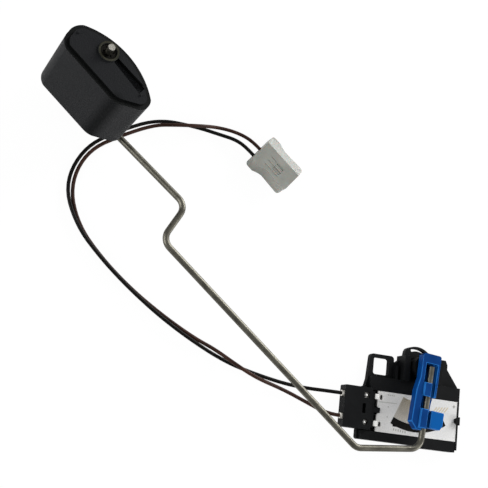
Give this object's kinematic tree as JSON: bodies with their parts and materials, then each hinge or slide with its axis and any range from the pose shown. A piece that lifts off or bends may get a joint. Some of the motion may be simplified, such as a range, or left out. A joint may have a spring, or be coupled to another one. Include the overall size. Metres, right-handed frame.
{
  "type": "fuel level sender",
  "caption": "Fuel tank level sender: black moulded head with a ceramic resistor card, blue wiper holder, bent float arm, float, leads and a connector.",
  "frame": {"origin": "on the arm's pivot axis at the back face of the moulded head", "axes": "+Z out of the head along the pivot axis, towards the resistor card; +X along the card's long edge, away from the terminal block; +Y towards the mounting tab"},
  "size_m": [0.2074, 0.146, 0.0462],
  "materials": {
    "acetal_black": "fine moulded grain",
    "acetal_blue": "moulded satin",
    "alumina_ceramic": "fired matt",
    "resistor_ink": "fired thick film",
    "silver_ink": "fired thick film",
    "tinned_brass": "stamped, tinned",
    "nickel_silver": "rolled sheet",
    "steel_wire": "drawn, zinc plated",
    "foamed_rubber": "closed-cell nitrile, matt",
    "spring_steel": "stamped",
    "nylon_natural": "moulded, slightly translucent",
    "insulation_black": "extruded, semi-matt",
    "insulation_brown": "extruded, semi-matt"
  },
  "bodies": {
    "head": {"sender_body": "acetal_black", "resistor_card": "alumina_ceramic", "resistor_track": "resistor_ink", "conductor_print": "silver_ink", "terminal_upper": "tinned_brass", "terminal_lower": "tinned_brass", "wire_black": "insulation_black", "wire_brown": "insulation_brown", "connector_housing": "nylon_natural", "connector_contact_black": "tinned_brass", "connector_contact_brown": "tinned_brass"},
    "arm": {"arm_holder": "acetal_blue", "wiper_contact": "nickel_silver", "wiper_buttons": "nickel_silver", "wiper_rivets": "tinned_brass", "float_arm": "steel_wire", "float_retainer": "spring_steel"},
    "float": {"float": "foamed_rubber"}
  },
  "joints": [
    {"name": "arm_pivot", "type": "hinge", "parent": "head", "child": "arm", "pos_m": [0, 0, 0.006], "axis": [0, 0, 1], "range_deg": [-28, 23]},
    {"name": "float_spin", "type": "hinge", "parent": "arm", "child": "float", "pos_m": [-0.1685, 0.0919, 0.0014], "axis": [0.0887, 0.1197, 0.9888], "continuous": true}
  ]
}
